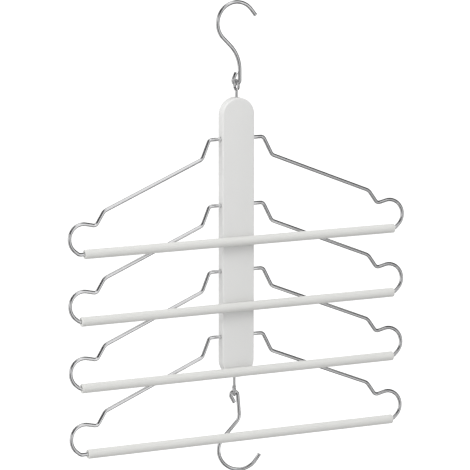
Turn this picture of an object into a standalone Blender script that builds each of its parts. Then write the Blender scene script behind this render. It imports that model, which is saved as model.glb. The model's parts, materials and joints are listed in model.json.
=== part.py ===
"""A multi hanger: four wire trouser frames that swing on one white board.

The board hangs from a wire hook by a link of two eyes, and carries a second,
equal hook at its foot, on which another hanger can hang. Each frame is one
bent wire whose two ends turn in holes in the board's sides. A foam sleeve
covers its bar, and the sleeve leans against the board's front.

Lengths are metres and +Z is up. The board's front looks along -Y. The origin
is the rail seat, the top of the inside of the top hook's bend.
"""

import math

import bmesh
import bpy
from mathutils import Vector

# Clearances
WIRE_HOLE_GAP = 0.0003
LINK_GAP = 0.0004
SLEEVE_GAP = 0.0003
REST_GAP = 0.0003
HOLE_END_GAP = 0.001

# Wire thicknesses
FRAME_WIRE_RADIUS = 0.0020
HOOK_WIRE_RADIUS = 0.0020
EYE_WIRE_RADIUS = 0.0015

# Board, with full round ends
BOARD_WIDTH = 0.0392
BOARD_THICKNESS = 0.013
BOARD_EDGE_ROUND = 0.0015
BOARD_END_STEPS = 24
BOARD_EDGE_STEPS = 3

# Pivot holes in the board's sides
FRAME_COUNT = 4
PIVOT_PITCH = 0.0755
FIRST_PIVOT_BELOW_TOP = 0.0464
LAST_PIVOT_ABOVE_FOOT = 0.0476
PIVOT_SEAT_DEPTH = 0.009

# Hooks
HOOK_ARC_RADIUS = 0.0232
HOOK_ARC_ABOVE_EYE = 0.06475
HOOK_TIP_LENGTH = 0.0085
HOOK_TIP_FLARE = 1.15
HOOK_TIP_FLARE_LENGTH = 0.0015
HOOK_TIP_ANGLE = math.radians(38)
HOOK_THROAT_ANGLE = math.radians(225)
TOP_HOOK_SHANK_BEND = 0.040
BOTTOM_HOOK_SHANK_BEND = 0.014
HOOK_EYE_RADIUS = 0.0040
HOOK_EYE_LEAN = math.radians(24)
HOOK_EYE_LIMB = 0.008
BOTTOM_HOOK_TURN = math.radians(-18)

# Screw eyes in the board's ends
EYE_RING_RADIUS = 0.00535
EYE_NECK_RADIUS = 0.0025
EYE_RING_END = math.radians(232)
EYE_SEAT_DEPTH = 0.018
TOP_EYE_STAND = 0.00825
BOTTOM_EYE_STAND = 0.0110
BOTTOM_EYE_SHIFT = -0.0024

# Wire frame, in its own plane, each run outwards and down from the end of the last
NECK_REACH = 0.0139
NECK_SPREAD = 0.010
NECK_DROP = 0.0212
SHOULDER_SPREAD = 0.1216
SHOULDER_DROP = 0.0491
NOTCH_SPREAD = 0.0104
NOTCH_DROP = 0.0155
LOOP_RADIUS = 0.0168
LOOP_NOTCH_GAP = 0.0038
LOOP_NOTCH_ANGLE = math.radians(-42)
LOOP_LEAVING_ANGLE = math.radians(40)
BAR_FOOT_DROP = 0.0038

# Bend radii of the wire frame, on the wire's centre line
NECK_BEND = 0.005
SHOULDER_FOOT_BEND = 0.007
SHOULDER_END_BEND = 0.011
NOTCH_BEND = 0.005
BAR_BEND = 0.006

# Foam sleeve on the bar
SLEEVE_RADIUS = 0.0053
SLEEVE_END_INSET = 0.0015
SLEEVE_LEFT_SLIPS = (0.0048, 0.0, 0.0, 0.0068)
SLEEVE_END_ROUND = 0.0008
SLEEVE_MOUTH_RADIUS = 0.0026
SLEEVE_MOUTH_LENGTH = 0.004
SLEEVE_SIDES = 20

# Fineness of bends and round bars
BEND_STEP = math.radians(15)
RING_STEP = math.radians(15)
HOOK_ARC_STEP = math.radians(10)
SLEEVE_END_STEP = math.radians(30)
BOARD_SHARP_ANGLE = math.radians(60)
WIRE_SIDES_SETTING = 3
HOLE_SIDES = 24
CUTTER_OVERRUN = 0.002

# Places that follow from the sizes
BOARD_LENGTH = FIRST_PIVOT_BELOW_TOP + (FRAME_COUNT - 1) * PIVOT_PITCH + LAST_PIVOT_ABOVE_FOOT
LINK_Z = HOOK_WIRE_RADIUS - HOOK_ARC_RADIUS - HOOK_ARC_ABOVE_EYE
LINK_PLAY = HOOK_EYE_RADIUS - HOOK_WIRE_RADIUS - LINK_GAP - EYE_WIRE_RADIUS
TOP_RING_Z = LINK_Z - LINK_PLAY - EYE_RING_RADIUS
BOARD_TOP_Z = TOP_RING_Z - EYE_RING_RADIUS - TOP_EYE_STAND
BOARD_BOTTOM_Z = BOARD_TOP_Z - BOARD_LENGTH
BOTTOM_RING_Z = BOARD_BOTTOM_Z - BOTTOM_EYE_STAND - EYE_RING_RADIUS
BOTTOM_LINK_Z = BOTTOM_RING_Z - EYE_RING_RADIUS - LINK_PLAY
LOOP_DROP = (
    NECK_DROP + SHOULDER_DROP + NOTCH_DROP
    - (LOOP_RADIUS + LOOP_NOTCH_GAP) * math.sin(LOOP_NOTCH_ANGLE)
)
BAR_DROP = LOOP_DROP + LOOP_RADIUS * math.cos(LOOP_LEAVING_ANGLE) + BAR_FOOT_DROP
BAR_STANDOFF = BOARD_THICKNESS / 2 + SLEEVE_RADIUS + REST_GAP
REST_TILT = math.asin(BAR_STANDOFF / BAR_DROP)


def clear_scene():
    """Remove every object that the new file holds."""
    for old in list(bpy.data.objects):
        bpy.data.objects.remove(old, do_unlink=True)


def new_collection(name):
    """Return a new collection linked to the scene."""
    collection = bpy.data.collections.new(name)
    bpy.context.scene.collection.children.link(collection)
    return collection


def principled(name, colour, roughness, metallic):
    """Return a Principled material."""
    material = bpy.data.materials.new(name)
    material.use_nodes = True
    shader = material.node_tree.nodes["Principled BSDF"]
    shader.inputs["Base Color"].default_value = (*colour, 1.0)
    shader.inputs["Roughness"].default_value = roughness
    shader.inputs["Metallic"].default_value = metallic
    return material


def painted_wood(name):
    """Return the satin white paint of the board."""
    return principled(name + "_paint", (0.72, 0.72, 0.71), 0.45, 0.0)


def chromed_wire(name):
    """Return the bright chrome of the bent wires."""
    return principled(name + "_chrome", (0.78, 0.78, 0.79), 0.12, 1.0)


def white_foam(name):
    """Return the soft off-white foam of the sleeves."""
    return principled(name + "_foam", (0.74, 0.74, 0.72), 0.8, 0.0)


def arc_points(centre, radius, start, end, step):
    """Return points on an arc from one angle to another, both ends included."""
    count = max(2, math.ceil(abs(end - start) / step))
    angles = [start + (end - start) * i / count for i in range(count + 1)]
    return [Vector((centre[0] + radius * math.cos(a), centre[1] + radius * math.sin(a))) for a in angles]


def bend_points(before, corner, after, radius):
    """Return points that round the corner between two straight runs."""
    towards = (before - corner).normalized()
    away = (after - corner).normalized()
    half = towards.angle(away) / 2
    centre = corner + (towards + away).normalized() * (radius / math.sin(half))
    first = corner + towards * (radius / math.tan(half))
    last = corner + away * (radius / math.tan(half))
    start = math.atan2(first.y - centre.y, first.x - centre.x)
    end = math.atan2(last.y - centre.y, last.x - centre.x)
    turn = (end - start + math.pi) % math.tau - math.pi
    return arc_points(centre, radius, start, start + turn, BEND_STEP)


def in_plane(points):
    """Turn flat points into points of an object's own XZ plane."""
    return [Vector((p.x, 0.0, p.y)) for p in points]


def add_empty(name, collection, location, parent=None):
    """Add an empty that carries other objects."""
    empty = bpy.data.objects.new(name, None)
    empty.empty_display_size = 0.01
    empty.location = location
    empty.parent = parent
    collection.objects.link(empty)
    return empty


def add_wire(name, points, radius, material, collection, parent=None, first_flare=1.0):
    """Add a round wire along the points, with closed ends.

    The wire is thicker at its first point by the factor first_flare.
    """
    curve = bpy.data.curves.new(name, "CURVE")
    curve.dimensions = "3D"
    curve.bevel_depth = radius
    curve.bevel_resolution = WIRE_SIDES_SETTING
    curve.use_fill_caps = True
    spline = curve.splines.new("POLY")
    spline.points.add(len(points) - 1)
    for target, point in zip(spline.points, points):
        target.co = (*point, 1.0)
    spline.points[0].radius = first_flare
    curve.materials.append(material)
    wire = bpy.data.objects.new(name, curve)
    wire.parent = parent
    collection.objects.link(wire)
    return wire


def board_outline():
    """Return the board's outline: a long shape with two half-circle ends."""
    radius = BOARD_WIDTH / 2
    step = math.pi / BOARD_END_STEPS
    top = arc_points((0.0, BOARD_TOP_Z - radius), radius, 0.0, math.pi, step)
    bottom = arc_points((0.0, BOARD_BOTTOM_Z + radius), radius, math.pi, math.tau, step)
    return top + bottom


def flat_board_mesh(name):
    """Return the board's square-edged mesh, made from its flat outline."""
    curve = bpy.data.curves.new(name + "_outline", "CURVE")
    curve.dimensions = "2D"
    curve.fill_mode = "BOTH"
    curve.extrude = BOARD_THICKNESS / 2
    outline = board_outline()
    spline = curve.splines.new("POLY")
    spline.points.add(len(outline) - 1)
    for target, point in zip(spline.points, outline):
        target.co = (point.x, point.y, 0.0, 1.0)
    spline.use_cyclic_u = True
    flat = bpy.data.objects.new(name + "_flat", curve)
    bpy.context.scene.collection.objects.link(flat)
    evaluated = flat.evaluated_get(bpy.context.evaluated_depsgraph_get())
    mesh = bpy.data.meshes.new_from_object(evaluated)
    bpy.data.objects.remove(flat, do_unlink=True)
    bpy.data.curves.remove(curve)
    edit = bmesh.new()
    edit.from_mesh(mesh)
    bmesh.ops.remove_doubles(edit, verts=edit.verts, dist=0.00001)
    edit.to_mesh(mesh)
    edit.free()
    return mesh


def add_cutter(name, radius, depth, location, turn, collection, parent):
    """Add a round cutter along its own Z, which a turn lays over."""
    bpy.ops.mesh.primitive_cylinder_add(vertices=HOLE_SIDES, radius=radius, depth=depth)
    cutter = bpy.context.object
    cutter.name = name
    for home in list(cutter.users_collection):
        home.objects.unlink(cutter)
    collection.objects.link(cutter)
    cutter.parent = parent
    cutter.location = location
    cutter.rotation_euler = turn
    cutter.hide_render = True
    cutter.display_type = "WIRE"
    return cutter


def pivot_z(index):
    """Return the height of a frame's pivot; index 0 is the top frame."""
    return BOARD_TOP_Z - FIRST_PIVOT_BELOW_TOP - index * PIVOT_PITCH


def pivot_cutters(collection, parent):
    """Return cutters for the holes that the frames' wire ends turn in."""
    radius = FRAME_WIRE_RADIUS + WIRE_HOLE_GAP
    depth = PIVOT_SEAT_DEPTH + HOLE_END_GAP + CUTTER_OVERRUN
    offset = BOARD_WIDTH / 2 + CUTTER_OVERRUN - depth / 2
    sideways = (0.0, math.pi / 2, 0.0)
    cutters = []
    for index in range(FRAME_COUNT):
        for side, label in ((-1, "left"), (1, "right")):
            place = (side * offset, 0.0, pivot_z(index) - LINK_Z)
            name = f"pivot_hole_{index + 1}_{label}"
            cutters.append(add_cutter(name, radius, depth, place, sideways, collection, parent))
    return cutters


def eye_cutters(collection, parent):
    """Return cutters for the holes that the screw eyes sit in."""
    radius = EYE_WIRE_RADIUS + WIRE_HOLE_GAP
    depth = EYE_SEAT_DEPTH + HOLE_END_GAP + CUTTER_OVERRUN
    offset = BOARD_LENGTH / 2 + CUTTER_OVERRUN - depth / 2
    middle = BOARD_TOP_Z - BOARD_LENGTH / 2 - LINK_Z
    top = (0.0, 0.0, middle + offset)
    bottom = (BOTTOM_EYE_SHIFT, 0.0, middle - offset)
    upright = (0.0, 0.0, 0.0)
    return [
        add_cutter("top_eye_hole", radius, depth, top, upright, collection, parent),
        add_cutter("bottom_eye_hole", radius, depth, bottom, upright, collection, parent),
    ]


def build_board(collection, cutter_collection, parent):
    """Build the board with rounded edges and its blind holes."""
    mesh = flat_board_mesh("board")
    mesh.shade_smooth()
    mesh.set_sharp_from_angle(angle=BOARD_SHARP_ANGLE)
    board = bpy.data.objects.new("board", mesh)
    mesh.materials.clear()
    mesh.materials.append(painted_wood("board"))
    board.parent = parent
    board.location = (0.0, 0.0, -LINK_Z)
    board.rotation_euler = (math.pi / 2, 0.0, 0.0)
    collection.objects.link(board)
    bevel = board.modifiers.new("rounded_edges", "BEVEL")
    bevel.width = BOARD_EDGE_ROUND
    bevel.segments = BOARD_EDGE_STEPS
    bevel.limit_method = "ANGLE"
    bevel.angle_limit = BOARD_SHARP_ANGLE
    for cutter in pivot_cutters(cutter_collection, parent) + eye_cutters(cutter_collection, parent):
        cut = board.modifiers.new(cutter.name, "BOOLEAN")
        cut.operation = "DIFFERENCE"
        cut.solver = "EXACT"
        cut.object = cutter
    return board


def eye_path():
    """Return a screw eye's centre line, ring centre at the origin and stem below.

    The stem rises to the ring, swings out to one side through a short neck
    and follows the ring round until it nearly meets the stem again.
    """
    drop = math.sqrt((EYE_RING_RADIUS + EYE_NECK_RADIUS) ** 2 - EYE_NECK_RADIUS ** 2)
    neck_centre = (EYE_NECK_RADIUS, -drop)
    meeting = math.atan2(-drop, EYE_NECK_RADIUS)
    neck = arc_points(neck_centre, EYE_NECK_RADIUS, math.pi, meeting + math.pi, BEND_STEP)
    ring = arc_points((0.0, 0.0), EYE_RING_RADIUS, meeting, EYE_RING_END, RING_STEP)
    return neck + ring[1:]


def build_eye(name, place, stand, rotation, collection, parent):
    """Build a screw eye whose ring lies square to the board's face before its rotation."""
    stem_end = Vector((0.0, -EYE_RING_RADIUS - stand - EYE_SEAT_DEPTH))
    flat = [stem_end] + eye_path()
    points = [Vector((0.0, p.x, p.y)) for p in flat]
    eye = add_wire(name, points, EYE_WIRE_RADIUS, chromed_wire(name), collection, parent)
    eye.location = place
    eye.rotation_euler = rotation
    return eye


def hook_path(shank_bend):
    """Return a hook's centre line, with its eye round the origin and its bend above.

    The first two points bound the slightly thickened tip.
    """
    centre = Vector((0.0, HOOK_ARC_ABOVE_EYE))
    arc = arc_points(centre, HOOK_ARC_RADIUS, HOOK_TIP_ANGLE, HOOK_THROAT_ANGLE, HOOK_ARC_STEP)
    tip_way = Vector((math.sin(HOOK_TIP_ANGLE), -math.cos(HOOK_TIP_ANGLE)))
    tip = arc[0] + tip_way * HOOK_TIP_LENGTH
    flare_end = tip - tip_way * HOOK_TIP_FLARE_LENGTH
    throat_way = Vector((-math.sin(HOOK_THROAT_ANGLE), math.cos(HOOK_THROAT_ANGLE)))
    reach = (HOOK_EYE_RADIUS - arc[-1].x) / throat_way.x
    corner = arc[-1] + throat_way * reach
    shank_foot = Vector((HOOK_EYE_RADIUS, 0.0))
    shank = bend_points(arc[-1], corner, shank_foot, shank_bend)
    eye = arc_points((0.0, 0.0), HOOK_EYE_RADIUS, 0.0, -math.pi - HOOK_EYE_LEAN, RING_STEP)
    limb_way = Vector((math.sin(HOOK_EYE_LEAN), math.cos(HOOK_EYE_LEAN)))
    limb_end = eye[-1] + limb_way * HOOK_EYE_LIMB
    return [tip, flare_end] + arc + shank + eye + [limb_end]


def hanging_lean(path):
    """Return how far a wire that hangs upside down by its origin leans to balance."""
    moment = Vector((0.0, 0.0))
    for first, second in zip(path, path[1:]):
        moment += (first + second) * (second - first).length
    return math.atan2(moment.x, moment.y)


def build_hook(name, shank_bend, place, turn, collection, parent):
    """Build a hook whose origin is the centre of its eye."""
    points = in_plane(hook_path(shank_bend))
    steel = chromed_wire(name)
    hook = add_wire(name, points, HOOK_WIRE_RADIUS, steel, collection, parent, HOOK_TIP_FLARE)
    hook.location = place
    hook.rotation_euler = turn
    return hook


def loop_entry(notch, centre):
    """Return the point on the loop that a straight run from the notch touches."""
    gap = notch - centre
    touch = math.acos(LOOP_RADIUS / gap.length)
    angle = math.atan2(gap.y, gap.x) - touch
    return Vector((centre.x + LOOP_RADIUS * math.cos(angle), centre.y + LOOP_RADIUS * math.sin(angle))), angle


def frame_corners():
    """Return a frame's corners on the right: neck, neck's foot, shoulder's end and notch."""
    neck = Vector((BOARD_WIDTH / 2 + NECK_REACH, 0.0))
    foot = neck + Vector((NECK_SPREAD, -NECK_DROP))
    shoulder = foot + Vector((SHOULDER_SPREAD, -SHOULDER_DROP))
    notch = shoulder + Vector((NOTCH_SPREAD, -NOTCH_DROP))
    return neck, foot, shoulder, notch


def loop_centre():
    """Return the centre of the loop on a frame's right."""
    away = Vector((math.cos(LOOP_NOTCH_ANGLE), math.sin(LOOP_NOTCH_ANGLE)))
    return frame_corners()[-1] + away * (LOOP_RADIUS + LOOP_NOTCH_GAP)


def bar_corner():
    """Return where the wire leaves the loop, and where its run would meet the bar."""
    leave = Vector((math.sin(LOOP_LEAVING_ANGLE), -math.cos(LOOP_LEAVING_ANGLE))) * LOOP_RADIUS
    start = loop_centre() + leave
    return start, start - Vector((BAR_FOOT_DROP / math.tan(LOOP_LEAVING_ANGLE), BAR_FOOT_DROP))


def half_frame_path():
    """Return the right half of a frame's centre line, from its wire end to the bar."""
    end = Vector((BOARD_WIDTH / 2 - PIVOT_SEAT_DEPTH, 0.0))
    neck, foot, shoulder, notch = frame_corners()
    centre = loop_centre()
    entry, entry_angle = loop_entry(notch, centre)
    leaving, corner = bar_corner()
    path = [end]
    path += bend_points(end, neck, foot, NECK_BEND)
    path += bend_points(neck, foot, shoulder, SHOULDER_FOOT_BEND)
    path += bend_points(foot, shoulder, notch, SHOULDER_END_BEND)
    path += bend_points(shoulder, notch, entry, NOTCH_BEND)
    path += arc_points(centre, LOOP_RADIUS, entry_angle, LOOP_LEAVING_ANGLE - math.pi / 2, BEND_STEP)
    path += bend_points(leaving, corner, Vector((0.0, -BAR_DROP)), BAR_BEND)
    return path


def frame_path():
    """Return the whole centre line of a frame, from one wire end to the other."""
    right = half_frame_path()
    left = [Vector((-p.x, p.y)) for p in reversed(right)]
    return in_plane(right + left)


def sleeve_profile(half):
    """Return a sleeve's cut outline as radius and height, down outside and up inside."""
    bore = FRAME_WIRE_RADIUS + SLEEVE_GAP
    rim = SLEEVE_RADIUS - SLEEVE_END_ROUND
    top = arc_points((rim, half - SLEEVE_END_ROUND), SLEEVE_END_ROUND, math.pi / 2, 0.0, SLEEVE_END_STEP)
    bottom = [Vector((p.x, -p.y)) for p in reversed(top)]
    mouth = half - SLEEVE_MOUTH_LENGTH
    inside = [(SLEEVE_MOUTH_RADIUS, -half), (bore, -mouth), (bore, mouth), (SLEEVE_MOUTH_RADIUS, half)]
    return top + bottom + [Vector(p) for p in inside]


def build_sleeve(name, left_slip, collection, parent):
    """Build the foam sleeve of one bar, whose left end may have slipped along the bar."""
    half = bar_corner()[1].x - SLEEVE_END_INSET - left_slip / 2
    mesh = bpy.data.meshes.new(name)
    edit = bmesh.new()
    ring = [edit.verts.new((p.x, 0.0, p.y)) for p in sleeve_profile(half)]
    for first, second in zip(ring, ring[1:] + ring[:1]):
        edit.edges.new((first, second))
    edit.to_mesh(mesh)
    edit.free()
    mesh.materials.append(white_foam(name))
    sleeve = bpy.data.objects.new(name, mesh)
    sleeve.parent = parent
    sleeve.location = (left_slip / 2, 0.0, -BAR_DROP)
    sleeve.rotation_euler = (0.0, math.pi / 2, 0.0)
    collection.objects.link(sleeve)
    turn = sleeve.modifiers.new("turned", "SCREW")
    turn.steps = SLEEVE_SIDES
    turn.render_steps = SLEEVE_SIDES
    turn.use_merge_vertices = True
    turn.merge_threshold = 0.00001
    turn.use_smooth_shade = True
    return sleeve


def build_frame(index, collection, board_link):
    """Build one frame on an empty that sits on its pivot line and leans it forward."""
    number = index + 1
    place = (0.0, 0.0, pivot_z(index) - LINK_Z)
    pivot = add_empty(f"frame_pivot_{number}", collection, place, board_link)
    pivot.rotation_euler = (-REST_TILT, 0.0, 0.0)
    name = f"wire_frame_{number}"
    add_wire(name, frame_path(), FRAME_WIRE_RADIUS, chromed_wire(name), collection, pivot)
    build_sleeve(f"bar_sleeve_{number}", SLEEVE_LEFT_SLIPS[index], collection, pivot)


def main():
    """Build the whole hanger."""
    clear_scene()
    parts = new_collection("multi_hanger")
    cutters = new_collection("cutters")
    build_hook("top_hook", TOP_HOOK_SHANK_BEND, (0.0, 0.0, LINK_Z), (0.0, 0.0, 0.0), parts, None)
    board_link = add_empty("board_link", parts, (0.0, 0.0, LINK_Z))
    build_board(parts, cutters, board_link)
    top_ring = (0.0, 0.0, TOP_RING_Z - LINK_Z)
    bottom_ring = (BOTTOM_EYE_SHIFT, 0.0, BOTTOM_RING_Z - LINK_Z)
    build_eye("top_eye", top_ring, TOP_EYE_STAND, (0.0, 0.0, 0.0), parts, board_link)
    flipped = (math.pi, 0.0, BOTTOM_HOOK_TURN)
    build_eye("bottom_eye", bottom_ring, BOTTOM_EYE_STAND, flipped, parts, board_link)
    for index in range(FRAME_COUNT):
        build_frame(index, parts, board_link)
    place = (BOTTOM_EYE_SHIFT, 0.0, BOTTOM_LINK_Z - LINK_Z)
    lean = hanging_lean(hook_path(BOTTOM_HOOK_SHANK_BEND))
    turn = (math.pi, lean, BOTTOM_HOOK_TURN)
    build_hook("bottom_hook", BOTTOM_HOOK_SHANK_BEND, place, turn, parts, board_link)


main()
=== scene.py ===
import json
import logging
import math
from dataclasses import dataclass, field
from enum import Enum

import bmesh
import bpy
from bmesh.types import BMEdge, BMesh, BMVert
from bpy.types import Material, Node, NodeSocket, Object
from mathutils import Matrix, Vector, noise


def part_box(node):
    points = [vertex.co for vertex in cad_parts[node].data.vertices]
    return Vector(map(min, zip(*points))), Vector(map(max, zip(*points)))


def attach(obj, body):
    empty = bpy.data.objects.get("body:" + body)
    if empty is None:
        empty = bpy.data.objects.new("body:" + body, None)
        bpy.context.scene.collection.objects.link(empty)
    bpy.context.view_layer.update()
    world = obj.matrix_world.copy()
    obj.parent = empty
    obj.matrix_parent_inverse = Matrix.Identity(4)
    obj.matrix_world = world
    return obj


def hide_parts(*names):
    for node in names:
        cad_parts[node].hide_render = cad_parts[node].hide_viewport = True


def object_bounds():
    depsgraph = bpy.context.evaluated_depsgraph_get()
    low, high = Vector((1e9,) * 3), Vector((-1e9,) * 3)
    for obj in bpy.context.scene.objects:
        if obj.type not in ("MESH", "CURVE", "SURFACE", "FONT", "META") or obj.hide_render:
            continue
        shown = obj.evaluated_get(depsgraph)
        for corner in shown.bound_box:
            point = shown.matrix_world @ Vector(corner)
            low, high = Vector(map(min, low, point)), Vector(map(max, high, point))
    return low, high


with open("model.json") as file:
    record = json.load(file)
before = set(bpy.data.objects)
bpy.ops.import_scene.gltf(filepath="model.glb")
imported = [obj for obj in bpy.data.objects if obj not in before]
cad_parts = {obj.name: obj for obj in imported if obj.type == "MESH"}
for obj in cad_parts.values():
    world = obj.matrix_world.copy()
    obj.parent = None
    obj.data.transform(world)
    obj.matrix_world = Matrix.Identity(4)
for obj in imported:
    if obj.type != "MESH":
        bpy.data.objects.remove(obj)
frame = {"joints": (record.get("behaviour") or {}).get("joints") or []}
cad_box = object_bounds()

LOG = logging.getLogger("multi_hanger")

PHOTO_PIXELS = 470
LOWER_LINK_TURN = -18.0
FRAME_NUMBERS = range(1, 5)
OBJECT_MIDDLE = (cad_box[0] + cad_box[1]) / 2
SAME_POINT = 1e-6
BLACK = (0.0, 0.0, 0.0, 1.0)
WHITE = (1.0, 1.0, 1.0, 1.0)

Span = tuple[float, float]


class Slot(str, Enum):
    """The record's material slots."""

    CHROME = "chromed_wire"
    PAINT = "white_paint"
    FOAM = "white_foam"


class NodeTree:
    """A thin layer over a node tree that keeps node building short."""

    def __init__(self, tree: bpy.types.NodeTree) -> None:
        """Wrap the tree that takes the nodes."""
        self.tree = tree

    def add(self, kind: str, **settings: object) -> Node:
        """Add a node and set its properties.

        Args:
            kind: the node's type name.
            settings: properties to set on it.

        Returns:
            The new node.
        """
        node = self.tree.nodes.new(kind)
        for name, value in settings.items():
            setattr(node, name, value)
        return node

    def link(self, source: NodeSocket, target: NodeSocket) -> None:
        """Link two sockets."""
        self.tree.links.new(source, target)

    def feed(self, socket: NodeSocket, value: object) -> None:
        """Link a socket, or set its value where the value is a plain one."""
        if isinstance(value, NodeSocket):
            self.link(value, socket)
        else:
            socket.default_value = value

    def worked(self, kind: str, operation: str, *values: object) -> Node:
        """Add a node that works on its first inputs.

        Args:
            kind: the node's type name.
            operation: the node's operation.
            values: a socket or a plain value for each of these inputs.

        Returns:
            The new node.
        """
        node = self.add(kind, operation=operation)
        for socket, value in zip(node.inputs, values):
            self.feed(socket, value)
        return node

    def math(self, operation: str, first: object, second: object = 0.0) -> NodeSocket:
        """Return the result of a Math node."""
        return self.worked("ShaderNodeMath", operation, first, second).outputs["Value"]

    def vector(self, operation: str, *values: object) -> NodeSocket:
        """Return the vector that a Vector Math node gives."""
        return self.worked("ShaderNodeVectorMath", operation, *values).outputs["Vector"]

    def noise(self, vector: NodeSocket, scale: object, detail: float) -> NodeSocket:
        """Add a Noise Texture.

        Args:
            vector: the coordinates.
            scale: the noise's scale, a socket or a number.
            detail: how many octaves it has.

        Returns:
            The noise's factor.
        """
        node = self.add("ShaderNodeTexNoise")
        for name, value in (("Vector", vector), ("Scale", scale), ("Detail", detail)):
            self.feed(node.inputs[name], value)
        return node.outputs["Fac"]

    def remap(self, value: NodeSocket, span: Span, result: Span = (0.0, 1.0)) -> NodeSocket:
        """Map a span of values smoothly to another.

        Args:
            value: the value to map.
            span: where the first span starts and ends.
            result: what its two ends become.

        Returns:
            The mapped value.
        """
        node = self.add("ShaderNodeMapRange", interpolation_type="SMOOTHSTEP")
        self.link(value, node.inputs["Value"])
        for name, number in zip(("From Min", "From Max", "To Min", "To Max"), span + result):
            node.inputs[name].default_value = number
        return node.outputs["Result"]


class Look(NodeTree):
    """A new material: its node tree with the Principled shader."""

    def __init__(self, name: str) -> None:
        """Start the material.

        Args:
            name: its name.
        """
        self.material = bpy.data.materials.new(name)
        self.material.use_nodes = True
        super().__init__(self.material.node_tree)

    def set(self, name: str, value: object) -> None:
        """Feed one of the shader's inputs with a socket or a plain value."""
        self.feed(self.tree.nodes["Principled BSDF"].inputs[name], value)

    def glow(self, strength: object) -> None:
        """Make the material black, so that it only glows white."""
        self.set("Base Color", BLACK)
        self.set("Specular IOR Level", 0.0)
        self.set("Emission Color", WHITE)
        self.set("Emission Strength", strength)

    def tint(self, colour: tuple[float, float, float], tone: NodeSocket) -> None:
        """Give the material a colour that a tone makes lighter or darker."""
        scale = self.worked("ShaderNodeVectorMath", "SCALE", colour)
        self.link(tone, scale.inputs["Scale"])
        self.set("Base Color", scale.outputs["Vector"])

    def emboss(self, height: NodeSocket, strength: float, depth: float) -> None:
        """Give the material a relief.

        Args:
            height: the relief's height.
            strength: how strongly it shows.
            depth: how deep it is, in metres.
        """
        bump = self.add("ShaderNodeBump")
        for name, value in (("Height", height), ("Strength", strength), ("Distance", depth)):
            self.feed(bump.inputs[name], value)
        self.set("Normal", bump.outputs["Normal"])


class GrainGroup:
    """The shared effect that gives a finish its fine relief and its mottled tone."""

    name = "fine_grain"
    inputs = (("Grain Scale", 1000.0), ("Tone Scale", 30.0), ("Tone Depth", 0.02))
    grain_detail = 4.0
    mottle_detail = 3.0
    _group: bpy.types.NodeTree | None = None

    @classmethod
    def tree(cls) -> bpy.types.NodeTree:
        """Return the group, built on its first use."""
        if cls._group is None:
            cls._group = cls._build()
        return cls._group

    @classmethod
    def _build(cls) -> bpy.types.NodeTree:
        """Build the group.

        Returns:
            The new node group.
        """
        group = bpy.data.node_groups.new(cls.name, "ShaderNodeTree")
        face = group.interface
        face.new_socket("Vector", in_out="INPUT", socket_type="NodeSocketVector")
        for socket, value in cls.inputs:
            made = face.new_socket(socket, in_out="INPUT", socket_type="NodeSocketFloat")
            made.default_value = value
        for socket in ("Height", "Tone"):
            face.new_socket(socket, in_out="OUTPUT", socket_type="NodeSocketFloat")
        kit = NodeTree(group)
        inlet = kit.add("NodeGroupInput").outputs
        outlet = kit.add("NodeGroupOutput").inputs
        kit.link(kit.noise(inlet["Vector"], inlet["Grain Scale"], cls.grain_detail), outlet["Height"])
        mottle = kit.noise(inlet["Vector"], inlet["Tone Scale"], cls.mottle_detail)
        swing = kit.math("MULTIPLY", kit.math("SUBTRACT", mottle, 0.5), inlet["Tone Depth"])
        kit.link(kit.math("ADD", swing, 1.0), outlet["Tone"])
        return group


@dataclass(frozen=True)
class Finish:
    """What every finish has: a name, a colour and a roughness."""

    name: str
    colour: tuple[float, float, float]
    roughness: float


@dataclass(frozen=True)
class ChromedWire(Finish):
    """Bright chrome on drawn steel wire, with faint lines along it and haze at its bends."""

    line_scale: float = 7.0
    line_stretch: float = 60.0
    line_detail: float = 3.0
    tone_span: Span = (0.3, 0.7)
    line_tones: Span = (0.97, 1.02)
    dull_span: Span = (0.35, 0.75)
    line_dullness: float = 1.5
    line_relief: float = 0.03
    line_depth: float = 0.0001
    haze: float = 0.02

    def build(self) -> Material:
        """Return the material."""
        look = Look(self.name)
        look.set("Metallic", 1.0)
        place = look.add("ShaderNodeAttribute", attribute_name=WireBender.section_layer)
        stretched = look.vector("MULTIPLY", place.outputs["Vector"], (1.0, 1.0, self.line_stretch))
        lines = look.noise(stretched, self.line_scale, self.line_detail)
        look.tint(self.colour, look.remap(lines, self.tone_span, self.line_tones))
        bend = look.add("ShaderNodeAttribute", attribute_name=WireBender.bend_layer)
        plain = look.remap(lines, self.dull_span, (self.roughness, self.roughness * self.line_dullness))
        hazed = look.math("MULTIPLY", bend.outputs["Fac"], self.haze)
        look.set("Roughness", look.math("ADD", plain, hazed))
        look.emboss(lines, self.line_relief, self.line_depth)
        return look.material


@dataclass(frozen=True)
class GrainedFinish(Finish):
    """A finish with the shared grain: how fine its relief and its mottling are, and how deep."""

    grain_scale: float
    mottle_scale: float
    mottle_depth: float
    specular: float
    relief: float
    relief_depth: float

    def start(self) -> tuple[Look, NodeSocket, Node]:
        """Start the material and place the grain in it.

        Returns:
            The look, the object's coordinates and the grain's node.
        """
        look = Look(self.name)
        look.set("Specular IOR Level", self.specular)
        place = look.add("ShaderNodeTexCoord").outputs["Object"]
        grain = look.add("ShaderNodeGroup", node_tree=GrainGroup.tree())
        numbers = (place, self.grain_scale, self.mottle_scale, self.mottle_depth)
        for socket, value in zip(grain.inputs, numbers):
            look.feed(socket, value)
        return look, place, grain


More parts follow.
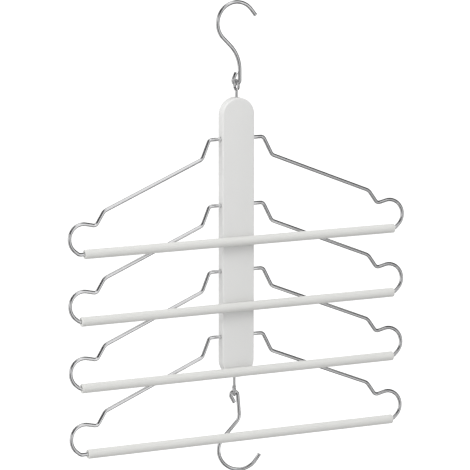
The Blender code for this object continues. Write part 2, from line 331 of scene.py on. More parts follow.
@dataclass(frozen=True)
class SatinPaint(GrainedFinish):
    """Satin white paint with the faint orange peel that a spray gun leaves."""

    grain_scale: float = 700.0
    mottle_scale: float = 28.0
    mottle_depth: float = 0.025
    specular: float = 0.4
    relief: float = 0.12
    relief_depth: float = 0.0002
    gloss_span: Span = (0.3, 0.7)
    gloss_swing: float = 0.08

    def build(self) -> Material:
        """Return the material."""
        look, _, grain = self.start()
        peel = grain.outputs["Height"]
        look.tint(self.colour, grain.outputs["Tone"])
        glossy = self.roughness * (1 - self.gloss_swing)
        dull = self.roughness * (1 + self.gloss_swing)
        look.set("Roughness", look.remap(peel, self.gloss_span, (glossy, dull)))
        look.emboss(peel, self.relief, self.relief_depth)
        return look.material


@dataclass(frozen=True)
class SoftFoam(GrainedFinish):
    """Off-white closed-cell foam with fine pores, painted shade in their pits, and a skin that scatters
    light softly.
    """

    grain_scale: float = 1500.0
    mottle_scale: float = 45.0
    mottle_depth: float = 0.035
    specular: float = 0.25
    relief: float = 0.25
    relief_depth: float = 0.00015
    pore_span: Span = (0.0, 0.4)
    pore_shade_tones: Span = (0.96, 1.0)
    pit_span: Span = (0.1, 0.5)
    pit_share: float = 0.6
    sheen: float = 0.12
    sheen_roughness: float = 0.6

    def build(self) -> Material:
        """Return the material."""
        look, place, grain = self.start()
        pores = look.add("ShaderNodeTexVoronoi")
        look.feed(pores.inputs["Scale"], self.grain_scale)
        look.link(place, pores.inputs["Vector"])
        wall = pores.outputs["Distance"]
        # painted shade: the pits of the pores are drawn up to 4% darker
        shade = look.remap(wall, self.pore_span, self.pore_shade_tones)
        look.tint(self.colour, look.math("MULTIPLY", grain.outputs["Tone"], shade))
        look.set("Roughness", self.roughness)
        look.set("Sheen Weight", self.sheen)
        look.set("Sheen Roughness", self.sheen_roughness)
        pits = look.math("MULTIPLY", look.remap(wall, self.pit_span), self.pit_share)
        look.emboss(look.math("ADD", pits, grain.outputs["Height"]), self.relief, self.relief_depth)
        return look.material


@dataclass(frozen=True)
class Straight:
    """A straight stretch of a flat path, which ends at a point and is weighed as one part."""

    end: Vector
    parts = 1

    def walk(self, point: Vector, parts: int = 1) -> Vector:
        """Return the stretch's end."""
        return self.end

    def flipped(self, begin: Vector) -> "Straight":
        """Return the stretch's mirror image, walked back to where the stretch begins."""
        return Straight(flipped(begin))


@dataclass(frozen=True)
class Arc:
    """A bend of a flat path: its centre, its angle, and the parts that it is weighed in."""

    centre: Vector
    sweep: float
    parts = 40

    def walk(self, point: Vector, parts: int = 1) -> Vector:
        """Return where one of the bend's equal parts leads from a point."""
        return self.centre + Matrix.Rotation(self.sweep / parts, 2) @ (point - self.centre)

    def flipped(self, begin: Vector) -> "Arc":
        """Return the bend's mirror image, walked back to where the bend begins."""
        return Arc(flipped(self.centre), self.sweep)


@dataclass
class FlatPath:
    """A wire's centre line in a plane, as straight stretches and arcs."""

    start: Vector
    pieces: list[Straight | Arc] = field(default_factory=list)

    def line(self, end: Vector) -> "FlatPath":
        """Add a straight stretch up to a point, and return the path."""
        self.pieces.append(Straight(end))
        return self

    def arc(self, centre: Vector, sweep: float) -> "FlatPath":
        """Add an arc about a centre by an angle in radians, and return the path."""
        self.pieces.append(Arc(centre, sweep))
        return self

    def corner(self, at: Vector, towards: Vector, radius: float) -> "FlatPath":
        """Add a straight stretch that ends in a rounded corner.

        Args:
            at: the sharp corner.
            towards: a point on the stretch after it.
            radius: the bend's radius on the centre line.

        Returns:
            The path itself.
        """
        back = (self.tip() - at).normalized()
        ahead = (towards - at).normalized()
        half = back.angle(ahead) / 2
        centre = at + (back + ahead).normalized() * (radius / math.sin(half))
        self.line(at + back * (radius / math.tan(half)))
        side = ahead.cross(back)
        return self.arc(centre, math.copysign(math.pi - 2 * half, side))

    def tip(self) -> Vector:
        """Return the point where the path ends so far."""
        point = self.start
        for piece in self.pieces:
            point = piece.walk(point)
        return point

    def mirrored_back(self) -> "FlatPath":
        """Carry the path on across the middle line as its own mirror image.

        Returns:
            The path itself.
        """
        points = [self.start]
        for piece in self.pieces:
            points.append(piece.walk(points[-1]))
        forward = list(zip(points, self.pieces))
        self.pieces += [piece.flipped(begin) for begin, piece in reversed(forward)]
        return self


def flipped(point: Vector) -> Vector:
    """Return a point's mirror image across the middle line."""
    return Vector((-point.x, point.y))


def polar(radius: float, degrees: float) -> Vector:
    """Return the point at a radius and an angle in degrees."""
    angle = math.radians(degrees)
    return Vector((radius * math.cos(angle), radius * math.sin(angle)))


def standing(point: Vector) -> Vector:
    """Return a flat point as a point of the upright XZ plane."""
    return Vector((point.x, 0.0, point.y))


def rounded(mesh: BMesh, edges: list[BMEdge], width: float, segments: int) -> None:
    """Round edges of a mesh.

    Args:
        mesh: the bmesh.
        edges: its edges to round.
        width: the rounding's width in metres.
        segments: how many faces go round it.
    """
    bmesh.ops.bevel(
        mesh, geom=edges, offset=width, segments=segments, profile=0.5, affect="EDGES", material=-1,
    )


def turned(mesh: BMesh, axis: tuple[float, float, float], sides: int) -> None:
    """Turn an outline a whole turn round an axis through the origin, as on a lathe.

    Args:
        mesh: the bmesh that holds the outline and gets the closed shape.
        axis: the axis.
        sides: how many faces go round.
    """
    bmesh.ops.spin(
        mesh, geom=mesh.edges[:] + mesh.verts[:], cent=(0.0, 0.0, 0.0), axis=axis,
        angle=math.tau, steps=sides, use_merge=True, use_duplicate=False,
    )
    bmesh.ops.remove_doubles(mesh, verts=mesh.verts, dist=SAME_POINT)
    bmesh.ops.recalc_face_normals(mesh, faces=mesh.faces)


def object_of(name: str, mesh: BMesh, material: Material | None = None) -> Object:
    """Make an object of a bmesh.

    Args:
        name: the object's name.
        mesh: its shape, which is freed.
        material: its material, where it has one.

    Returns:
        The new object, in the scene.
    """
    data = bpy.data.meshes.new(name)
    mesh.to_mesh(data)
    mesh.free()
    if material:
        data.materials.append(material)
    made = bpy.data.objects.new(name, data)
    bpy.context.scene.collection.objects.link(made)
    return made


class WireBender:
    """Bends one round wire along a flat path, as a wire bender feeds and turns it."""

    section_layer = "wire_section"
    bend_layer = "wire_bend"
    rim_share = 0.22
    rim_segments = 3

    def __init__(self, radius: float, sides: int = 28, bend_step: float = 5.0, flare: float = 1.0) -> None:
        """Set the machine up.

        Args:
            radius: the wire's radius in metres.
            sides: how many sides its section has.
            bend_step: the turn of each step in a bend, in degrees.
            flare: how much thicker the wire is where it starts.
        """
        self.radius = radius
        self.flare = flare
        self.sides = sides
        self.bend_step = math.radians(bend_step)
        self.mesh = bmesh.new()
        self.section = self.mesh.verts.layers.float_vector.new(self.section_layer)
        self.bend = self.mesh.verts.layers.float.new(self.bend_layer)
        self.ring: list[BMVert] = []
        self.centre = Vector((0.0, 0.0, 0.0))
        self.way = Vector((1.0, 0.0, 0.0))
        self.fed = 0.0

    def follow(self, path: FlatPath) -> BMesh:
        """Bend the wire along a path and close its ends.

        Args:
            path: the wire's centre line.

        Returns:
            The wire's closed mesh in the upright XZ plane.
        """
        self._start(path)
        for piece in path.pieces:
            if isinstance(piece, Straight):
                self._feed(standing(piece.end))
            else:
                self._turn(standing(piece.centre), piece.sweep)
        self._close_ends()
        return self.mesh

    def _start(self, path: FlatPath) -> None:
        """Make the first section, square to the straight stretch that the path starts with."""
        self.centre = standing(path.start)
        self.way = (standing(path.pieces[0].end) - self.centre).normalized()
        first = self.radius * self.flare
        made = bmesh.ops.create_circle(self.mesh, cap_ends=False, radius=first, segments=self.sides)
        self.ring = made["verts"]
        turn = self.way.to_track_quat("Z", "Y").to_matrix().to_4x4()
        bmesh.ops.transform(self.mesh, matrix=Matrix.Translation(self.centre) @ turn, verts=self.ring)
        self._mark(0.0)

    def _extrude(self) -> None:
        """Extrude the last section on the spot, into a new last section."""
        members = set(self.ring)
        edges = [e for e in self.mesh.edges if e.verts[0] in members and e.verts[1] in members]
        made = bmesh.ops.extrude_edge_only(self.mesh, edges=edges)
        self.ring = [g for g in made["geom"] if isinstance(g, BMVert)]

    def _feed(self, end: Vector) -> None:
        """Feed the wire straight on to a point."""
        step = end - self.centre
        if step.length < SAME_POINT:
            return
        self._extrude()
        bmesh.ops.translate(self.mesh, vec=step, verts=self.ring)
        if self.flare != 1.0:
            about = Matrix.Translation(-end)
            bmesh.ops.scale(self.mesh, vec=[1 / self.flare] * 3, space=about, verts=self.ring)
            self.flare = 1.0
        self.way = step.normalized()
        self.centre = end
        self.fed += step.length
        self._mark(0.0)

    def _turn(self, centre: Vector, sweep: float) -> None:
        """Bend the wire round a point, one small step after another."""
        steps = max(2, math.ceil(abs(sweep) / self.bend_step))
        share = Matrix.Rotation(sweep / steps, 3, Vector((0.0, -1.0, 0.0)))
        for number in range(steps):
            self._extrude()
            bmesh.ops.rotate(self.mesh, cent=centre, matrix=share, verts=self.ring)
            self.way = share @ self.way
            self.fed += abs(sweep) / steps * (self.centre - centre).length
            self.centre = centre + share @ (self.centre - centre)
            self._mark(math.sin(math.pi * (number + 1) / (steps + 1)))

    def _mark(self, bend: float) -> None:
        """Note on the last section where it is on the wire and how bent it is."""
        across = self.way.cross(Vector((0.0, 1.0, 0.0)))
        for vert in self.ring:
            spoke = (vert.co - self.centre) / self.radius
            vert[self.section] = (spoke.dot(across), spoke.y, self.fed)
            vert[self.bend] = bend

    def _close_ends(self) -> None:
        """Cap both cut ends and take their sharp rims off."""
        rims = [e for e in self.mesh.edges if len(e.link_faces) == 1]
        made = bmesh.ops.holes_fill(self.mesh, edges=rims, sides=self.sides)
        edges = list({e for cap in made["faces"] for e in cap.edges})
        rounded(self.mesh, edges, self.radius * self.rim_share, self.rim_segments)
        bmesh.ops.recalc_face_normals(self.mesh, faces=self.mesh.faces)


def finished_piece(name: str, mesh: BMesh, place: Matrix, material: Material,
                   body: str, node: str, sharp: float = 35.0) -> Object:
    """Turn a bmesh into a piece that stands for a CAD node.

    Args:
        name: the piece's name.
        mesh: its shape, which is freed.
        place: where the shape goes.
        material: its finish.
        body: the CAD body that it rides on.
        node: the CAD node that it replaces.
        sharp: the angle in degrees past which an edge stays sharp.

    Returns:
        The new object.
    """
    bmesh.ops.transform(mesh, matrix=place, verts=mesh.verts)
    piece = object_of(name, mesh, material)
    piece.data.shade_smooth()
    piece.data.set_sharp_from_angle(angle=math.radians(sharp))
    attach(piece, body)
    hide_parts(node)
    LOG.info("%s: %d faces on %s", name, len(piece.data.polygons), body)
    return piece


def joint_point(name: str) -> Vector:
    """Return the point that a joint turns about."""
    return Vector(next(j["pos_m"] for j in frame["joints"] if j["name"] == name))


@dataclass
class WireHook:
    """A wardrobe hook: one wire with a wide bend at one end and a small eye at the other."""

    node: str
    joint: str
    shank_bend: float
    upside_down: bool
    wire_radius: float = 0.0020
    arc_radius: float = 0.0232
    arc_above_eye: float = 0.06475
    tip_length: float = 0.0085
    tip_angle: float = 38.0
    tip_flare: float = 1.15
    flare_length: float = 0.0015
    throat_angle: float = 225.0
    eye_radius: float = 0.0040
    eye_lean: float = 24.0
    eye_limb: float = 0.008

    def path(self) -> FlatPath:
        """Return the hook's centre line, with its eye round the origin.

        Returns:
            The path from the hook's tip to the eye's free end.
        """
        centre = Vector((0.0, self.arc_above_eye))
        first = centre + polar(self.arc_radius, self.tip_angle)
        last = centre + polar(self.arc_radius, self.throat_angle)
        tip = first + polar(self.tip_length, self.tip_angle - 90)
        down = polar(1.0, self.throat_angle + 90)
        corner = last + down * ((self.eye_radius - last.x) / down.x)
        foot = Vector((self.eye_radius, 0.0))
        limb = polar(self.eye_limb, 90 - self.eye_lean)
        path = FlatPath(tip).line(tip.lerp(first, self.flare_length / self.tip_length)).line(first)
        path.arc(centre, math.radians(self.throat_angle - self.tip_angle))
        path.corner(corner, foot, self.shank_bend).line(foot)
        path.arc(Vector((0.0, 0.0)), -math.pi - math.radians(self.eye_lean))
        return path.line(path.tip() + limb)

    def lean(self, path: FlatPath) -> float:
        """Return how far the hook leans when it hangs upside down by its eye.

        Args:
            path: the hook's centre line.

        Returns:
            The angle in radians that brings the wire's weight under the eye.
        """
        moment = Vector((0.0, 0.0))
        point = path.start
        for piece in path.pieces:
            for _ in range(piece.parts):
                ahead = piece.walk(point, piece.parts)
                moment += (point + ahead) * (ahead - point).length
                point = ahead
        return math.atan2(moment.x, moment.y)

    def build(self, material: Material) -> Object:
        """Build the hook.

        Args:
            material: its finish.

        Returns:
            The hook's object.
        """
        path = self.path()
        place = Matrix.Translation(joint_point(self.joint))
        if self.upside_down:
            place = place @ Matrix.Rotation(math.radians(LOWER_LINK_TURN), 4, "Z")
            place = place @ Matrix.Rotation(self.lean(path), 4, "Y")
            place = place @ Matrix.Rotation(math.pi, 4, "X")
        mesh = WireBender(self.wire_radius, flare=self.tip_flare).follow(path)
        return finished_piece(self.node + "_wire", mesh, place, material, self.node, self.node)


@dataclass
class WireEye:
    """The thinner wire eye in an end of the board, which a hook's eye links with."""

    node: str
    upside_down: bool
    wire_radius: float = 0.0015
    ring_radius: float = 0.00535
    neck_radius: float = 0.0025
    ring_end: float = 232.0
    sides: int = 24

    def build(self, material: Material) -> Object:
        """Build the eye.

        Args:
            material: its finish.

        Returns:
            The eye's object.
        """
        low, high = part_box(self.node)
        outer = self.ring_radius + self.wire_radius
        ring_z = low.z + outer if self.upside_down else high.z - outer
        middle = (low.x + high.x) / 2
        length = (high.z - low.z) - outer
        path = self._path(length)
        flip = Matrix.Identity(4)
        if self.upside_down:
            flip = Matrix.Rotation(math.radians(LOWER_LINK_TURN), 4, "Z") @ Matrix.Rotation(math.pi, 4, "X")
        square = Matrix.Rotation(math.pi / 2, 4, "Z")
        place = Matrix.Translation((middle, 0.0, ring_z)) @ flip @ square
        mesh = WireBender(self.wire_radius, self.sides).follow(path)
        return finished_piece(self.node + "_wire", mesh, place, material, "board", self.node)

    def _path(self, length: float) -> FlatPath:
        """Return the eye's centre line, with its ring round the origin.

        Args:
            length: how far the stem's end lies below the ring's centre.

        Returns:
            The path from the stem's end round the ring.
        """
        reach = self.ring_radius + self.neck_radius
        drop = math.sqrt(reach ** 2 - self.neck_radius ** 2)
        meeting = math.atan2(-drop, self.neck_radius)
        path = FlatPath(Vector((0.0, -length))).line(Vector((0.0, -drop)))
        path.arc(Vector((self.neck_radius, -drop)), meeting)
        return path.arc(Vector((0.0, 0.0)), math.radians(self.ring_end) - meeting)


@dataclass
class SwingingFrame:
    """One bent wire frame with the foam sleeve on its bar."""

    number: int
    wire_radius: float = 0.0020
    board_half: float = 0.0196
    seat_depth: float = 0.009
    neck_reach: float = 0.0139
    neck_run: Vector = field(default_factory=lambda: Vector((0.010, -0.0212)))
    shoulder_run: Vector = field(default_factory=lambda: Vector((0.1216, -0.0491)))
    notch_run: Vector = field(default_factory=lambda: Vector((0.0104, -0.0155)))
    loop_radius: float = 0.0168
    loop_notch_gap: float = 0.0038
    loop_notch_angle: float = -42.0
    leaving_angle: float = 40.0
    bar_foot_drop: float = 0.0038
    neck_bend: float = 0.005
    foot_bend: float = 0.007
    shoulder_bend: float = 0.011
    notch_bend: float = 0.005
    bar_bend: float = 0.006

    @property
    def body(self) -> str:
        """Return the CAD body's name."""
        return f"frame_{self.number}"

    def loop_centre(self, notch: Vector) -> Vector:
        """Return the loop's centre, seen from the notch's corner."""
        return notch + polar(self.loop_radius + self.loop_notch_gap, self.loop_notch_angle)

    def path(self) -> FlatPath:
        """Return the frame's whole centre line, with its pivot line through the origin.

        Returns:
            The path from the right wire end round to the left one.
        """
        neck = Vector((self.board_half + self.neck_reach, 0.0))
        foot = neck + self.neck_run
        shoulder = foot + self.shoulder_run
        notch = shoulder + self.notch_run
        centre = self.loop_centre(notch)
        gap = notch - centre
        entry = math.atan2(gap.y, gap.x) - math.acos(self.loop_radius / gap.length)
        touch = centre + polar(self.loop_radius, math.degrees(entry))
        leaving = centre + polar(self.loop_radius, self.leaving_angle - 90)
        run = Vector((self.bar_foot_drop / math.tan(math.radians(self.leaving_angle)), self.bar_foot_drop))
        bar = leaving - run
        path = FlatPath(Vector((self.board_half - self.seat_depth, 0.0)))
        path.corner(neck, foot, self.neck_bend)
        path.corner(foot, shoulder, self.foot_bend)
        path.corner(shoulder, notch, self.shoulder_bend)
        path.corner(notch, touch, self.notch_bend).line(touch)
        path.arc(centre, math.radians(self.leaving_angle - 90) - entry)
        middle = Vector((0.0, bar.y))
        path.corner(bar, middle, self.bar_bend).line(middle)
        return path.mirrored_back()

    def tilt(self, bar_drop: float) -> float:
        """Return how far the frame leans forward, from where its sleeve lies.

        Args:
            bar_drop: how far the bar lies below the pivot, in the frame's plane.

        Returns:
            The angle in radians.
        """
        low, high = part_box(f"bar_sleeve_{self.number}")
        return math.asin(-(low.y + high.y) / 2 / bar_drop)

    def build(self, chrome: Material, foam: Material) -> list[Object]:
        """Build the wire and its sleeve.

        Args:
            chrome: the wire's finish.
            foam: the sleeve's finish.

        Returns:
            The two objects.
        """
        path = self.path()
        bar_drop = -min(p.end.y for p in path.pieces if isinstance(p, Straight))
        lean = Matrix.Rotation(-self.tilt(bar_drop), 4, "X")
        place = Matrix.Translation(joint_point(f"frame_{self.number}_lift")) @ lean
        mesh = WireBender(self.wire_radius).follow(path)
        node = f"wire_frame_{self.number}"
        wire = finished_piece(node + "_wire", mesh, place, chrome, self.body, node)
        sleeve = FoamSleeve(self.number).build(place @ Matrix.Translation((0.0, 0.0, -bar_drop)), foam)
        return [wire, sleeve]


@dataclass
class FoamSleeve:
    """The soft foam tube on a bar, slightly uneven as extruded foam is."""

    number: int
    radius: float = 0.0053
    bore: float = 0.0023
    mouth_radius: float = 0.0026
    mouth_length: float = 0.004
    end_round: float = 0.0008
    end_steps: int = 4
    unevenness: float = 0.00011
    lump_length: float = 0.016
    lumps_across: float = 90.0
    lump_shift: tuple[float, float, float] = (7.3, 1.9, 0.4)
    sides: int = 48
    cuts: int = 150
    sharp: float = 60.0

    def build(self, place: Matrix, material: Material) -> Object:
        """Build the sleeve.

        Args:
            place: the bar's place, with its X axis along the bar.
            material: its finish.

        Returns:
            The sleeve's object.
        """
        node = f"bar_sleeve_{self.number}"
        low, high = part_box(node)
        mesh = bmesh.new()
        self._profile(mesh, low.x, high.x)
        turned(mesh, (1.0, 0.0, 0.0), self.sides)
        self._swell(mesh)
        name, body = f"foam_sleeve_{self.number}", f"frame_{self.number}"
        sleeve = finished_piece(name, mesh, place, material, body, node, self.sharp)
        return sleeve

    def _profile(self, mesh: BMesh, left: float, right: float) -> None:
        """Draw half of the sleeve's cut outline above the bar's axis.

        Args:
            mesh: the bmesh that takes it.
            left: where the sleeve starts along the bar.
            right: where it ends.
        """
        rim = self.radius - self.end_round
        corner = [polar(self.end_round, 90 / self.end_steps * n) for n in range(self.end_steps + 1)]
        outer = [(right - self.end_round + c.x, rim + c.y) for c in corner]
        outer += [(left + self.end_round - c.x, rim + c.y) for c in reversed(corner)]
        inner = [
            (left, self.mouth_radius),
            (left + self.mouth_length, self.bore),
            (right - self.mouth_length, self.bore),
            (right, self.mouth_radius),
        ]
        ring = [mesh.verts.new((x, 0.0, r)) for x, r in outer + inner]
        edges = [mesh.edges.new(pair) for pair in zip(ring, ring[1:] + ring[:1])]
        half = (right - left) / 2
        long = [e for e in edges if e.calc_length() > half and e.verts[0].co.z > self.mouth_radius]
        bmesh.ops.subdivide_edges(mesh, edges=long, cuts=self.cuts)

    def _swell(self, mesh: BMesh) -> None:
        """Make the outside a little uneven, never past the sleeve's own radius."""
        along, front, up = self.lump_shift
        shift = Vector((along * self.number, front, up))
        for vert in mesh.verts:
            spoke = Vector((0.0, vert.co.y, vert.co.z))
            if spoke.length < self.radius - self.end_round / 2:
                continue
            where = spoke * self.lumps_across + shift
            where.x += vert.co.x / self.lump_length
            sink = (noise.noise(where) + 1) / 2 * self.unevenness
            vert.co -= spoke.normalized() * sink


@dataclass
class HangingBoard:
    """The long white board with full round ends and the blind holes in its sides."""

    edge_round: float = 0.0015
    end_segments: int = 40
    edge_segments: int = 8
    weld_distance: float = 1e-5
    hole_radius: float = 0.0023
    hole_depth: float = 0.010
    hole_lip: float = 0.0003
    lip_spread: float = 0.0006
    drill_overrun: float = 0.0012
    drill_sides: int = 32
    eye_hole_radius: float = 0.0018
    eye_hole_depth: float = 0.019
    sharp: float = 40.0

    def build(self, material: Material) -> Object:
        """Build the board.

        Args:
            material: its finish.

        Returns:
            The board's object.
        """
        low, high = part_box("board")
        mesh = self._drilled(self._blank(low, high), low, high)
        return finished_piece(
            "painted_board", mesh, Matrix.Identity(4), material, "board", "board", self.sharp,
        )

    def _blank(self, low: Vector, high: Vector) -> BMesh:
        """Cut the board's blank and round it.

        Args:
            low: the board's lowest corner.
            high: its highest corner.

        Returns:
            The blank's mesh.
        """
        size = high - low
        mesh = bmesh.new()
        bmesh.ops.create_cube(mesh, size=1.0)
        bmesh.ops.scale(mesh, vec=size, verts=mesh.verts)
        bmesh.ops.translate(mesh, vec=(low + high) / 2, verts=mesh.verts)
        upright = [e for e in mesh.edges if abs(e.verts[0].co.y - e.verts[1].co.y) > size.y / 2]
        rounded(mesh, upright, size.x / 2 - SAME_POINT, self.end_segments)
        bmesh.ops.remove_doubles(mesh, verts=mesh.verts, dist=self.weld_distance)
        rims = [e for e in mesh.edges if abs(e.verts[0].co.y - e.verts[1].co.y) < SAME_POINT]
        rounded(mesh, rims, self.edge_round, self.edge_segments)
        return mesh

    def _drilled(self, mesh: BMesh, low: Vector, high: Vector) -> BMesh:
        """Drill the holes for the frames' wire ends and for the two eyes.

        Args:
            mesh: the blank, which is freed.
            low: the board's lowest corner.
            high: its highest corner.

        Returns:
            The drilled board's mesh.
        """
        blank = object_of("board_blank", mesh)
        drills = [self._side_drill(number, side, low, high) for number in FRAME_NUMBERS for side in (-1, 1)]
        drills += [self._end_drill("top_eye", high.z, 1), self._end_drill("bottom_eye", low.z, -1)]
        for drill in drills:
            cut = blank.modifiers.new(drill.name, "BOOLEAN")
            cut.operation = "DIFFERENCE"
            cut.solver = "EXACT"
            cut.object = drill
        evaluated = blank.evaluated_get(bpy.context.evaluated_depsgraph_get())
        bored = bmesh.new()
        bored.from_mesh(bpy.data.meshes.new_from_object(evaluated))
        for used in [blank] + drills:
            bpy.data.objects.remove(used, do_unlink=True)
        return bored

    def _side_drill(self, number: int, side: int, low: Vector, high: Vector) -> Object:
        """Return the drill of one pivot hole."""
        mouth = Vector((high.x if side > 0 else low.x, 0.0, joint_point(f"frame_{number}_lift").z))
        return self._drill(mouth, Vector((side, 0, 0)), self.hole_radius, self.hole_depth)

    def _end_drill(self, node: str, mouth_z: float, outward: int) -> Object:
        """Return the drill of one eye's hole."""
        low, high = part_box(node)
        mouth = Vector(((low.x + high.x) / 2, 0.0, mouth_z))
        return self._drill(mouth, Vector((0, 0, outward)), self.eye_hole_radius, self.eye_hole_depth)

    def _drill(self, mouth: Vector, way: Vector, radius: float, depth: float) -> Object:
        """Return a drill that also breaks the hole's rim.

        Args:
            mouth: the middle of the hole's mouth.
            way: the way out of the hole.
            radius: the hole's radius.
            depth: how deep it goes.

        Returns:
            The drill's object.
        """
        mesh = bmesh.new()
        wide = radius + self.lip_spread
        outline = [
            (0.0, -depth),
            (radius, -depth),
            (radius, -self.hole_lip),
            (wide, self.hole_lip),
            (wide, self.drill_overrun),
            (0.0, self.drill_overrun),
        ]
        line = [mesh.verts.new((r, 0.0, z)) for r, z in outline]
        for pair in zip(line, line[1:]):
            mesh.edges.new(pair)
        turned(mesh, (0.0, 0.0, 1.0), self.drill_sides)
        turn = way.to_track_quat("Z", "Y").to_matrix().to_4x4()
        bmesh.ops.transform(mesh, matrix=Matrix.Translation(mouth) @ turn, verts=mesh.verts)
        return object_of("drill", mesh)


def show_only_in_metal(thing: Object) -> None:
    """Let a glowing piece be seen in metal, and nowhere else, as a painted reflection that lights nothing.
    """
    for ray in ("camera", "diffuse", "volume_scatter", "shadow"):
        setattr(thing, "visible_" + ray, False)


@dataclass(frozen=True)
class PaintedReflectionPanel:
    """A soft-edged panel of painted reflection on the glowing tent, seen only in metal.

    Its middle is given by two angles in degrees: round the line of sight, from the right
    hand over the top, and off the camera, from the camera's own place to straight behind
    the object. It has its full level out to the inner angle and fades out at the outer one.
    """

    round_angle: float
    off_angle: float
    inner: float
    outer: float
    level: float

    def way(self, sight: Matrix) -> Vector:
        """Return the direction to the panel's middle.

        Args:
            sight: the camera's turn.

        Returns:
            The direction as a unit vector.
        """
        flat = polar(1.0, self.round_angle)
        off = math.radians(self.off_angle)
        return sight @ Vector((math.sin(off) * flat.x, math.sin(off) * flat.y, math.cos(off)))


@dataclass
class PaintedReflectionTent:
    """A glowing white sphere round the object with grey and black panels of painted reflection, which only
    metal shows and which lights nothing.
    """

    radius: float = 8.0
    smoothness: int = 4
    panels: tuple[PaintedReflectionPanel, ...] = (
        PaintedReflectionPanel(0.0, 0.0, 36.0, 50.0, 0.0),
        PaintedReflectionPanel(-68.0, 31.0, 27.0, 37.0, 0.55),
        PaintedReflectionPanel(-54.0, 97.0, 20.0, 27.0, 0.02),
        PaintedReflectionPanel(0.0, 165.0, 64.0, 84.0, 0.12),
        PaintedReflectionPanel(-85.0, 95.0, 26.0, 36.0, 0.0),
        PaintedReflectionPanel(43.0, 105.0, 38.0, 50.0, 0.0),
        PaintedReflectionPanel(225.0, 77.0, 37.0, 51.0, 0.18),
        PaintedReflectionPanel(196.0, 60.0, 36.0, 50.0, 0.72),
        PaintedReflectionPanel(98.0, 63.0, 8.0, 12.0, 0.76),
        PaintedReflectionPanel(25.0, 44.0, 19.0, 26.0, 0.80),
        PaintedReflectionPanel(132.0, 78.0, 26.0, 33.0, 0.0),
        PaintedReflectionPanel(-121.0, 38.0, 23.0, 32.0, 0.08),
        PaintedReflectionPanel(99.0, 98.0, 14.0, 20.0, 0.75),
        PaintedReflectionPanel(0.0, 180.0, 14.0, 20.0, 0.40),
    )

    def build(self, sight: Matrix) -> None:
        """Put the painted reflection tent up round the object.

        Args:
            sight: the camera's turn.
        """
        mesh = bmesh.new()
        bmesh.ops.create_icosphere(mesh, subdivisions=self.smoothness, radius=self.radius)
        bmesh.ops.translate(mesh, vec=OBJECT_MIDDLE, verts=mesh.verts)
        show_only_in_metal(object_of("painted_reflection_tent", mesh, self._material(sight)))

    def _material(self, sight: Matrix) -> Material:
        """Return the tent's glowing material: white, with its panels of painted reflection.

        Args:
            sight: the camera's turn.

        Returns:
            The material.
        """
        look = Look("painted_reflection_tent")
        spoke = look.vector("SUBTRACT", look.add("ShaderNodeTexCoord").outputs["Object"], OBJECT_MIDDLE)
        unit = look.vector("NORMALIZE", spoke)
        level: NodeSocket | float = 1.0
        for panel in self.panels:
            dot = look.worked("ShaderNodeVectorMath", "DOT_PRODUCT", unit, panel.way(sight))
            outer = math.cos(math.radians(panel.outer))
            inner = math.cos(math.radians(panel.inner))
            mask = look.remap(dot.outputs["Value"], (outer, inner))
            mix = look.add("ShaderNodeMix", data_type="FLOAT")
            for name, value in (("Factor", mask), ("A", level), ("B", panel.level)):
                look.feed(mix.inputs[name], value)
            level = mix.outputs["Result"]
        look.glow(level)
        return look.material


@dataclass
class PaintedReflectionCard:
    """A dim glowing card by the camera's right: a painted dark reflection that only the metal on the right
    shows, and that lights and shades nothing.
    """

    left_edge: tuple[float, float] = (0.28, -0.62)
    right_edge: tuple[float, float] = (0.60, -0.45)
    low: float = -0.65
    high: float = -0.06
    level: float = 0.36

    def build(self) -> None:
        """Put the card up."""
        mesh = bmesh.new()
        edges = (self.left_edge, self.right_edge)
        corners = [(x, y, self.low) for x, y in edges] + [(x, y, self.high) for x, y in reversed(edges)]
        mesh.faces.new([mesh.verts.new(c) for c in corners])
        look = Look("painted_dark_reflection_card")
        look.glow(self.level)
        show_only_in_metal(object_of("painted_dark_reflection_card", mesh, look.material))


@dataclass(frozen=True)
class Softbox:
    """A large rectangular lamp that faces the object's middle."""

    name: str
    place: tuple[float, float, float]
    width: float
    height: float
    power: float

    def hang(self) -> None:
        """Hang the lamp, where metal doesn't show it."""
        lamp = bpy.data.lights.new(self.name, "AREA")
        lamp.shape = "RECTANGLE"
        lamp.size = self.width
        lamp.size_y = self.height
        lamp.energy = self.power
        box = bpy.data.objects.new(self.name, lamp)
        aim = OBJECT_MIDDLE - Vector(self.place)
        turn = aim.to_track_quat("-Z", "Y").to_matrix().to_4x4()
        box.matrix_world = Matrix.Translation(self.place) @ turn
        box.visible_glossy = False
        bpy.context.scene.collection.objects.link(box)


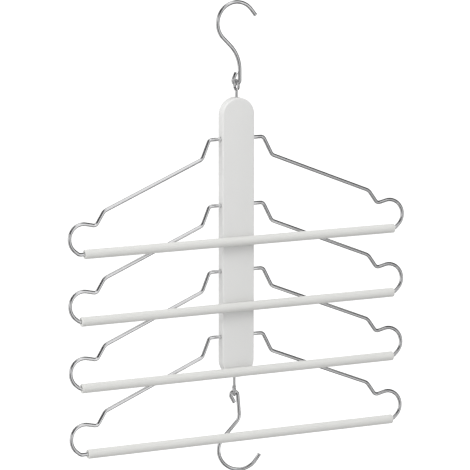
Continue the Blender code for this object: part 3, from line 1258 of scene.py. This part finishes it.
@dataclass
class Studio:
    """The plain white studio: its camera, its lamps, its floor and its surroundings."""

    azimuth: float = 25.51
    elevation: float = 10.328
    roll: float = -0.06
    camera_place: tuple[float, float, float] = (-1.394789, -2.919614, 0.327658)
    focal_pixels: float = 2909.242
    sensor: float = 36.0
    sight_reach: float = 100.0
    floor_level: float = -1.0
    floor_size: float = 40.0
    floor_colour: tuple[float, float, float, float] = (0.60, 0.60, 0.60, 1.0)
    floor_roughness: float = 0.9
    floor_glow: float = 0.6
    ambient: float = 0.90
    lamps: tuple[Softbox, ...] = (
        Softbox("key_softbox", (-0.5, -1.6, 2.0), 1.8, 1.4, 23.0),
        Softbox("side_softbox", (-2.5, -0.2, 0.2), 1.2, 1.6, 18.4),
    )

    def build(self) -> None:
        """Build the whole studio."""
        self._camera()
        self._world()
        self._floor()
        for lamp in self.lamps:
            lamp.hang()
        # painted reflections for the metal: a glowing tent and a dim card, which light nothing
        PaintedReflectionTent().build(bpy.context.scene.camera.matrix_world.to_3x3())
        PaintedReflectionCard().build()

    def _camera(self) -> None:
        """Set the camera up as the photograph's."""
        data = bpy.data.cameras.new("photo_camera")
        data.sensor_width = self.sensor
        data.lens = self.focal_pixels / PHOTO_PIXELS * self.sensor
        data.clip_end = self.sight_reach
        camera = bpy.data.objects.new("photo_camera", data)
        turn = Matrix.Rotation(math.radians(-self.azimuth), 4, "Z")
        turn = turn @ Matrix.Rotation(math.radians(90 - self.elevation), 4, "X")
        turn = turn @ Matrix.Rotation(math.radians(-self.roll), 4, "Z")
        camera.matrix_world = Matrix.Translation(self.camera_place) @ turn
        bpy.context.scene.collection.objects.link(camera)
        bpy.context.scene.camera = camera
        LOG.info("camera at %s", tuple(camera.location))

    def _world(self) -> None:
        """Build the white surroundings, white in metal too, and softer as a light."""
        world = bpy.data.worlds.new("white_studio")
        world.use_nodes = True
        bpy.context.scene.world = world
        kit = NodeTree(world.node_tree)
        background = world.node_tree.nodes["Background"]
        seen = self._seen(kit)
        soft = kit.math("MULTIPLY", kit.math("SUBTRACT", 1.0, seen), self.ambient)
        background.inputs["Color"].default_value = WHITE
        kit.link(kit.math("ADD", soft, seen), background.inputs["Strength"])

    @staticmethod
    def _seen(kit: NodeTree) -> NodeSocket:
        """Return 1 for the rays that show the background, and 0 for those that only light."""
        path = kit.add("ShaderNodeLightPath")
        shown = kit.math("MAXIMUM", path.outputs["Is Camera Ray"], path.outputs["Is Glossy Ray"])
        return kit.math("MAXIMUM", shown, path.outputs["Is Transmission Ray"])

    def _floor(self) -> None:
        """Lay a white floor that keeps the object's soft shadow."""
        mesh = bmesh.new()
        bmesh.ops.create_grid(mesh, x_segments=1, y_segments=1, size=self.floor_size / 2)
        bmesh.ops.translate(mesh, vec=(0.0, 0.0, self.floor_level), verts=mesh.verts)
        floor = object_of("studio_floor", mesh, self._floor_material())
        floor.visible_glossy = False

    def _floor_material(self) -> Material:
        """Return the floor's material, white to the camera wherever no shadow falls."""
        look = Look("studio_floor")
        look.set("Base Color", self.floor_colour)
        look.set("Roughness", self.floor_roughness)
        look.set("Emission Color", WHITE)
        look.set("Emission Strength", look.math("MULTIPLY", self._seen(look), self.floor_glow))
        return look.material


@dataclass
class MultiHanger:
    """The whole hanger: board, eyes, hooks and swinging frames."""

    chrome: Material
    paint: Material
    foam: Material
    top_shank_bend: float = 0.040
    bottom_shank_bend: float = 0.014

    def build(self) -> list[Object]:
        """Build every piece.

        Returns:
            The pieces' objects.
        """
        wires = [
            WireEye("top_eye", upside_down=False),
            WireEye("bottom_eye", upside_down=True),
            WireHook("top_hook", "board_swing", self.top_shank_bend, upside_down=False),
            WireHook("bottom_hook", "bottom_hook_swing", self.bottom_shank_bend, upside_down=True),
        ]
        made = [HangingBoard().build(self.paint)] + [wire.build(self.chrome) for wire in wires]
        for number in FRAME_NUMBERS:
            made += SwingingFrame(number).build(self.chrome, self.foam)
        return made


def main() -> None:
    """Build the studio and the hanger."""
    logging.basicConfig(level=logging.INFO)
    bpy.context.scene.view_settings.view_transform = "Standard"
    Studio().build()
    chrome = ChromedWire("bright_chrome", colour=(0.84, 0.84, 0.85), roughness=0.03).build()
    paint = SatinPaint("satin_white_paint", colour=(0.72, 0.72, 0.71), roughness=0.42).build()
    foam = SoftFoam("soft_white_foam", colour=(0.67, 0.67, 0.65), roughness=0.85).build()
    pieces = MultiHanger(chrome, paint, foam).build()
    LOG.info("%d pieces made", len(pieces))


if __name__ == "__main__":
    main()
